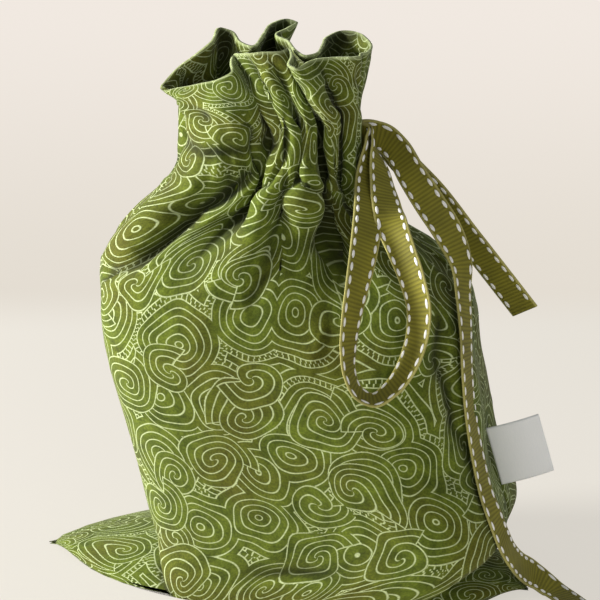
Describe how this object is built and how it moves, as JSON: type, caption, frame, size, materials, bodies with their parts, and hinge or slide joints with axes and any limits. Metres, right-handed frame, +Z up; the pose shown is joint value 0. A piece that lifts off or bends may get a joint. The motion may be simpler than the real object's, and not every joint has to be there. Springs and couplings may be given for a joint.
{
  "type": "drawstring pouch",
  "caption": "Gathered drawstring pouch of printed cotton, standing filled, with a ruffled mouth, grosgrain drawstring and side label.",
  "frame": {"origin": "on the table, under the middle of the pouch's plan box without its drawstring", "axes": "+X along the flat width towards the slit that the ribbon leaves by, front panel facing -Y, +Z up"},
  "size_m": [0.2198, 0.1009, 0.1845],
  "materials": {
    "printed_cotton": "matte printed cotton",
    "grosgrain_ribbon": "ribbed grosgrain",
    "satin_label": "satin"
  },
  "bodies": {
    "root": {"pouch_cloth": "printed_cotton", "drawstring_in_casing": "grosgrain_ribbon", "ribbon_front_loop": "grosgrain_ribbon", "ribbon_long_tail": "grosgrain_ribbon", "ribbon_short_tail": "grosgrain_ribbon", "side_label": "satin_label"}
  },
  "joints": []
}
